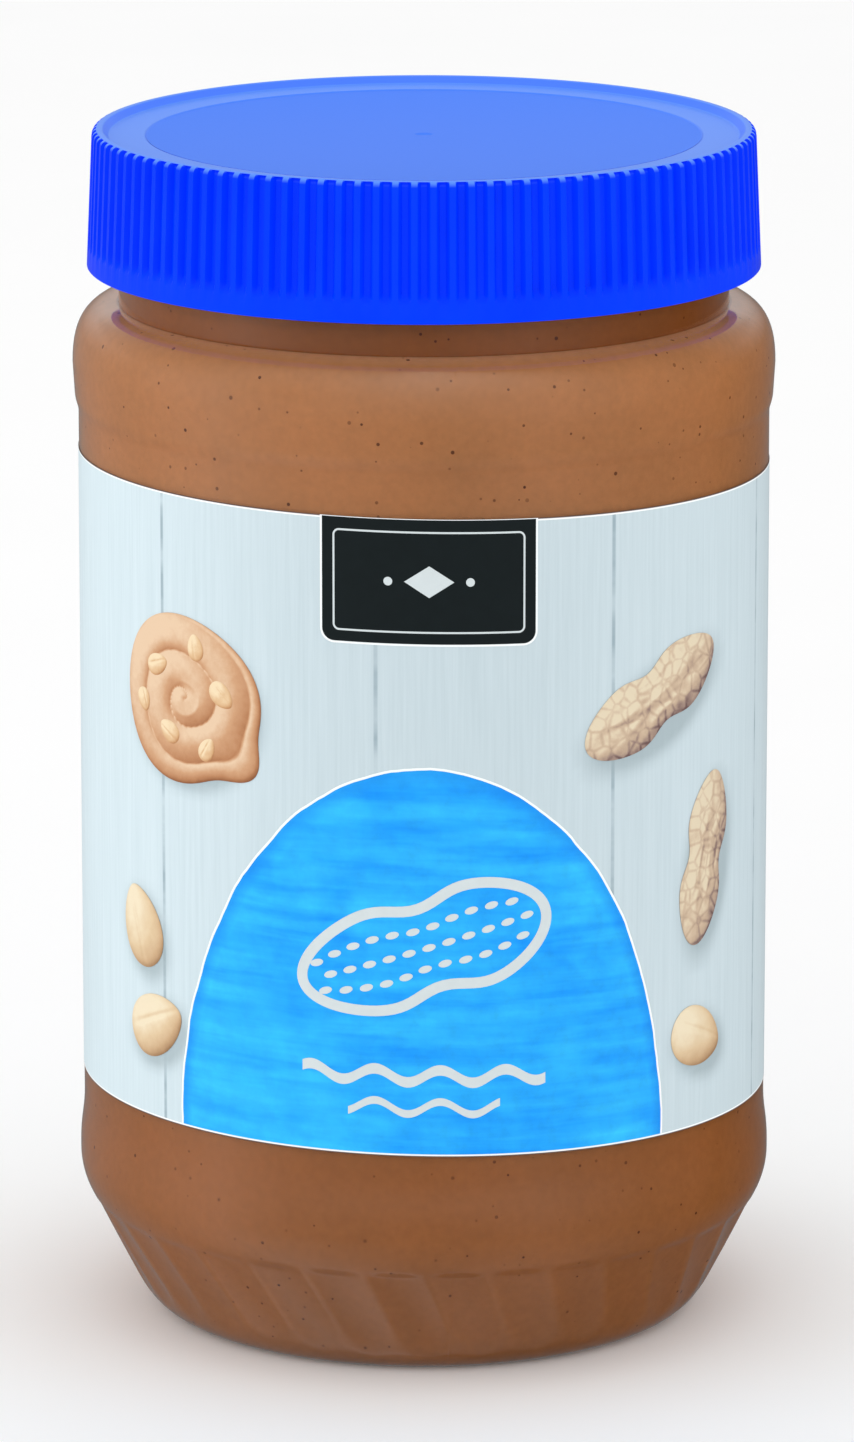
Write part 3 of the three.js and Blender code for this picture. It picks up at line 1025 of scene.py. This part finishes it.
grey_ink = flat_ink("mid_grey_ink", "#8b979c", 0.03, 2 * MM)
back_panels, back_frames = bmesh.new(), bmesh.new()
for middle in (-PANEL_MIDDLE, PANEL_MIDDLE):
    left, right = middle - PANEL_HALF_WIDTH, middle + PANEL_HALF_WIDTH
    panel = rounded_panel(left, right, PANEL_FOOT, PANEL_TOP, PANEL_CORNER, True)
    pour_into(back_panels, panel)
    frame_line = rounded_panel(left, right, PANEL_FOOT, PANEL_TOP, PANEL_CORNER, True)
    keep_outline(frame_line, PANEL_FRAME)
    pour_into(back_frames, frame_line)
    for rule in range(RULES):
        foot = RULED_FROM + rule * RULED_EVERY
        width = BAR_WIDTH if rule == RULES - 1 else RULE_WIDTH
        line = rounded_panel(
            left + RULE_INSET, right - RULE_INSET, foot, foot + width, RULE_CORNER, True
        )
        pour_into(back_frames, line)
printed("print_back_panels", cut_to_bend(back_panels), paper_white, 1)
printed("print_back_frames", cut_to_bend(back_frames), grey_ink, 2)


# The lid: blue polypropylene, injection moulded. Its side is cut into 113 ribs above a smooth
# band, and its top has a raised rim, a flat polished ring and a duller middle one step lower.
RIBS = 113
COLUMNS_PER_RIB = 12
GROOVE_DEPTH = 0.85
GROOVE_LOW, GROOVE_HIGH = 152.5, 169.1
LID_DISC = 38.8          # radius of the duller middle of the top
lid_low, lid_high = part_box("lid")
LID_LOW, LID_HIGH, LID_FOOT = lid_low.z / MM, lid_high.z / MM, lid_high.x / MM


def one_rib():
    """The lid's closed outline turned through one rib's pitch, with its groove sunk in."""
    shoulder, rim_round, rim_inner = 46.3, 1.2, 44.8
    ring_outer, ring_height = 43.9, LID_HIGH - 1.0
    disc_step, edge_softness = 0.15, 0.2
    # the mark where the plastic entered the mould
    gate_radius, gate_edge, gate_depth = 1.3, 0.3, 0.15
    over_mouth = 0.3
    hollow_radius, hollow_top = 44.6, MOUTH_HEIGHT + over_mouth
    foot = Vector((LID_FOOT, 0, LID_LOW))
    rim_low = Vector((shoulder, 0, LID_HIGH - rim_round))
    rim_top = Vector((shoulder - rim_round, 0, LID_HIGH))
    groove_end_rows, row_height, half_way_up = 6, 0.4, 160
    heights = [GROOVE_LOW + row_height * row for row in range(groove_end_rows)] + [half_way_up]
    side = [foot.lerp(rim_low, (z - LID_LOW) / (rim_low.z - LID_LOW)) for z in heights]
    corners = [
        Vector((hollow_radius, 0, hollow_top)),
        Vector((hollow_radius, 0, LID_LOW)),
        foot,
        Vector((rim_inner, 0, LID_HIGH)),
        Vector((ring_outer, 0, ring_height)),
        Vector((LID_DISC, 0, ring_height)),
        Vector((LID_DISC - disc_step, 0, ring_height - disc_step)),
    ]
    outline = [
        Vector((0, 0, hollow_top)),
        *corners[:3],
        *side,
        *bend(rim_low, Vector((shoulder, 0, LID_HIGH)), rim_top, 8),
        *corners[3:],
        Vector((gate_radius + gate_edge, 0, ring_height - disc_step)),
        Vector((gate_radius, 0, ring_height - disc_step)),
        Vector((0.8 * gate_radius, 0, ring_height - disc_step - gate_depth)),
        Vector((0, 0, ring_height - disc_step - gate_depth)),
    ]
    bm = turned(outline, corners, edge_softness, COLUMNS_PER_RIB, TURN / RIBS)
    # shares of a rib's pitch, then heights, then the radius inside which nothing is sunk
    groove_half_width, groove_wall = 0.2, 0.12
    lower_run_out, upper_run_out = 1.6, 0.4
    inmost = rim_top.x + 0.1
    for vert in bm.verts:
        radius = math.hypot(vert.co.x, vert.co.y)
        if radius < inmost or not GROOVE_LOW < vert.co.z < GROOVE_HIGH:
            continue
        angle = front_angle(vert.co)
        from_groove = abs(angle * RIBS / TURN - round(angle * RIBS / TURN))
        sunk = 1 - min(1, max(0, (from_groove - groove_half_width) / groove_wall))
        lower_end = min(1, (vert.co.z - GROOVE_LOW) / lower_run_out)
        upper_end = min(1, (GROOVE_HIGH - vert.co.z) / upper_run_out)
        depth = GROOVE_DEPTH * sunk * lower_end * math.sqrt(1 - (1 - upper_end) ** 2)
        place_round(vert, angle, radius - depth)
    return bm


def all_ribs():
    """The whole lid: the rib with its slice of the top, copied round the axis and joined up."""
    bm = one_rib()
    rib = bm.verts[:] + bm.edges[:] + bm.faces[:]
    for number in range(1, RIBS):
        copy = bmesh.ops.duplicate(bm, geom=rib)["geom"]
        verts = [part for part in copy if isinstance(part, bmesh.types.BMVert)]
        turn = Matrix.Rotation(TURN * number / RIBS, 3, "Z")
        bmesh.ops.rotate(bm, cent=(0, 0, 0), matrix=turn, verts=verts)
    bmesh.ops.remove_doubles(bm, verts=bm.verts[:], dist=0.002)
    bmesh.ops.recalc_face_normals(bm, faces=bm.faces[:])
    return bm


def moulded_polypropylene():
    """Royal blue polypropylene, injection moulded: dense even colour and a low sheen. The top is
    painted paler than the side as a painted reflection, and its ring paler still as painted
    sheen. The ring is polished and the middle is duller."""
    material, tree = new_material("blue_polypropylene_moulded")
    place = add_node(tree, "ShaderNodeTexCoord").outputs["Object"]
    flow_size, grain_size = 9 * MM, 0.5 * MM
    disc, above_ribs_from = LID_DISC * MM, (LID_HIGH - 2) * MM
    flow = add_node(tree, "ShaderNodeTexNoise", Vector=place, Scale=1 / flow_size, Detail=2.0)
    tone = add_node(
        tree, "ShaderNodeValToRGB", stops=[(0.3, linear("#0037f8")), (0.7, linear("#013cff"))],
        Fac=flow.outputs[0],
    )
    grain = add_node(
        tree, "ShaderNodeTexNoise", Vector=place, Scale=1 / grain_size, Detail=2.0, Roughness=0.6
    )
    radius = distance_from_axis(tree, place)
    sheen = add_node(
        tree, "ShaderNodeMapRange", in_0=radius, From_Min=disc - 0.4 * MM,
        From_Max=disc + 0.1 * MM, To_Min=0.42, To_Max=0.3,
    )
    # painted reflection: what faces up above the ribs takes a paler blue, and the ring a paler one
    # still
    facing = add_node(tree, "ShaderNodeNewGeometry")
    upward = add_node(tree, "ShaderNodeSeparateXYZ", Vector=facing.outputs["Normal"])
    facing_up = add_node(
        tree, "ShaderNodeMapRange", in_0=upward.outputs[2], From_Min=0.25, From_Max=0.9
    )
    height = add_node(tree, "ShaderNodeSeparateXYZ", Vector=place).outputs[2]
    above_ribs = add_node(
        tree, "ShaderNodeMath", {"operation": "GREATER_THAN"}, in_0=height, in_1=above_ribs_from
    )
    painted_reflection_on_top = add_node(
        tree, "ShaderNodeMath", {"operation": "MULTIPLY"}, in_0=facing_up.outputs[0],
        in_1=above_ribs.outputs[0],
    )
    ring_painted_sheen = add_node(
        tree, "ShaderNodeMapRange", in_0=radius, From_Min=disc - 0.2 * MM, From_Max=disc
    )
    top_painted_reflection = add_node(
        tree, "ShaderNodeMix", {"data_type": "RGBA"}, in_0=ring_painted_sheen.outputs[0],
        in_6=linear("#4783ff"), in_7=linear("#5f94ff"),
    )
    colour = add_node(
        tree, "ShaderNodeMix", {"data_type": "RGBA"}, in_0=painted_reflection_on_top.outputs[0],
        in_6=tone.outputs[0], in_7=top_painted_reflection.outputs[2],
    )
    bump = add_node(
        tree, "ShaderNodeBump", Height=grain.outputs[0], Distance=0.01 * MM, Strength=0.5
    )
    plastic = add_node(
        tree, "ShaderNodeBsdfPrincipled", Base_Color=colour.outputs[2], Roughness=sheen.outputs[0],
        IOR=1.5, Specular_IOR_Level=0.04, Normal=bump.outputs[0],
    )
    add_node(tree, "ShaderNodeOutputMaterial", Surface=plastic.outputs[0])
    return material


lid = finished("lid_cap", all_ribs(), moulded_polypropylene(), 30)
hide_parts("lid")


# The studio: a matt pale floor that runs well out on all sides, a large soft light low at the
# left, weaker ones low at the right and higher up in front, and a white sky. Gloss doesn't mirror
# the lamps or the floor, but a dimmer room all round.
FLOOR_HALF_WIDTH = 6     # metres
LAMP_WIDTH = 1.4
LAMPS_AIM = Vector((0, 0, 0.09))


def studio_floor():
    """Painted board, rolled matt: almost white, with the slow unevenness of the roller."""
    material, tree = new_material("pale_studio_floor_matt")
    place = add_node(tree, "ShaderNodeTexCoord").outputs["Object"]
    unevenness = 60 * MM
    texture = add_node(tree, "ShaderNodeTexNoise", Vector=place, Scale=1 / unevenness, Detail=2.0)
    tone = add_node(
        tree, "ShaderNodeValToRGB", stops=[(0, linear("#fcfcfc")), (1, linear("#fefefe"))],
        Fac=texture.outputs[0],
    )
    matt = add_node(
        tree, "ShaderNodeBsdfPrincipled", Base_Color=tone.outputs[0], Roughness=0.9,
        Specular_IOR_Level=0.1,
    )
    add_node(tree, "ShaderNodeOutputMaterial", Surface=matt.outputs[0])
    bm = bmesh.new()
    bmesh.ops.create_grid(bm, x_segments=4, y_segments=4, size=FLOOR_HALF_WIDTH)
    mesh = bpy.data.meshes.new("floor")
    bm.to_mesh(mesh)
    bm.free()
    mesh.materials.append(material)
    piece = bpy.data.objects.new("floor", mesh)
    piece.visible_glossy = False
    scene.collection.objects.link(piece)


def soft_light(name, place, watts):
    """A square lamp aimed at the middle of the jar."""
    light = bpy.data.lights.new(name, "AREA")
    light.shape = "SQUARE"
    light.size = LAMP_WIDTH
    light.energy = watts
    lamp = bpy.data.objects.new(name, light)
    lamp.visible_glossy = False
    lamp.location = place
    lamp.rotation_euler = (LAMPS_AIM - lamp.location).to_track_quat("-Z", "Y").to_euler()
    scene.collection.objects.link(lamp)


def surroundings():
    """A white sky lights the jar, a little stronger near the horizon. What gloss mirrors is a
    dimmer room: bright at the left, overhead in front and in a patch behind that the lid's top
    mirrors, and dark at the right."""
    world = bpy.data.worlds.new("white_surroundings")
    world.use_nodes = True
    tree = world.node_tree
    tree.nodes.clear()
    direction = add_node(tree, "ShaderNodeTexCoord").outputs["Generated"]
    split = add_node(tree, "ShaderNodeSeparateXYZ", Vector=direction)
    up = split.outputs[2]
    sky = add_node(
        tree, "ShaderNodeMapRange", in_0=up, From_Min=0.1, From_Max=0.9, To_Min=1.2, To_Max=0.85
    )
    bearing = add_node(
        tree, "ShaderNodeMath", {"operation": "ARCTAN2"}, in_0=split.outputs[0],
        in_1=split.outputs[1],
    )
    # from the front by the left, the back and the right to the front again
    round_room = add_node(
        tree, "ShaderNodeMapRange", in_0=bearing.outputs[0], From_Min=-math.pi, From_Max=math.pi
    )
    bearings = (0.0, 0.12, 0.2, 0.3, 0.5, 0.68, 0.78, 0.89, 1.0)
    # how high each ring of the room lies, as the sine of its elevation, and its light all round
    rings = (
        (-0.92, (0.32, 0.6, 0.7, 0.3, 0.2, 0.1, 0.3, 0.42, 0.32)),
        (-0.55, (0.25, 0.5, 0.65, 0.3, 0.2, 0.05, 0.15, 0.3, 0.25)),
        (-0.34, (0.2, 0.35, 0.65, 0.3, 0.2, 0.0, 0.1, 0.25, 0.2)),
        (-0.22, (0.22, 0.4, 0.7, 0.35, 0.2, 0.0, 0.12, 0.38, 0.22)),
        (0.0, (0.4, 0.45, 0.75, 0.4, 0.25, 0.0, 0.15, 0.5, 0.4)),
        (0.24, (0.65, 0.4, 0.7, 0.45, 0.9, 0.1, 0.15, 0.55, 0.65)),
        (0.81, (1.3, 0.7, 0.6, 0.3, 0.25, 0.1, 0.2, 0.9, 1.3)),
    )
    lit_rings = []
    for height, levels in rings:
        stops = [(place, (level, level, level, 1)) for place, level in zip(bearings, levels)]
        ring = add_node(tree, "ShaderNodeValToRGB", stops=stops, Fac=round_room.outputs[0])
        lit_rings.append((height, ring.outputs[0]))
    mirrored = lit_rings[0][1]
    for (low, _), (high, ring_above) in zip(lit_rings, lit_rings[1:]):
        above = add_node(tree, "ShaderNodeMapRange", in_0=up, From_Min=low, From_Max=high)
        mirrored = add_node(
            tree, "ShaderNodeMix", {"data_type": "FLOAT"}, in_0=above.outputs[0], in_2=mirrored,
            in_3=ring_above,
        ).outputs[0]
    rays = add_node(tree, "ShaderNodeLightPath")
    not_through = add_node(
        tree, "ShaderNodeMath", {"operation": "SUBTRACT"}, in_0=1,
        in_1=rays.outputs["Is Transmission Ray"],
    )
    in_gloss = add_node(
        tree, "ShaderNodeMath", {"operation": "MULTIPLY"}, in_0=rays.outputs["Is Glossy Ray"],
        in_1=not_through.outputs[0],
    )
    level = add_node(
        tree, "ShaderNodeMix", {"data_type": "FLOAT"}, in_0=in_gloss.outputs[0],
        in_2=sky.outputs[0], in_3=mirrored,
    )
    light = add_node(tree, "ShaderNodeBackground", Color=(1, 1, 1, 1), Strength=level.outputs[0])
    add_node(tree, "ShaderNodeOutputWorld", Surface=light.outputs[0])
    return world


studio_floor()
soft_light("left_light", (-2.0, -0.2, 0.3), 10.5)
soft_light("front_light", (-0.7, -1.9, 0.8), 2.6)
soft_light("right_light", (1.8, -0.6, 0.3), 5)
scene.world = surroundings()
scene.view_settings.view_transform = "Standard"
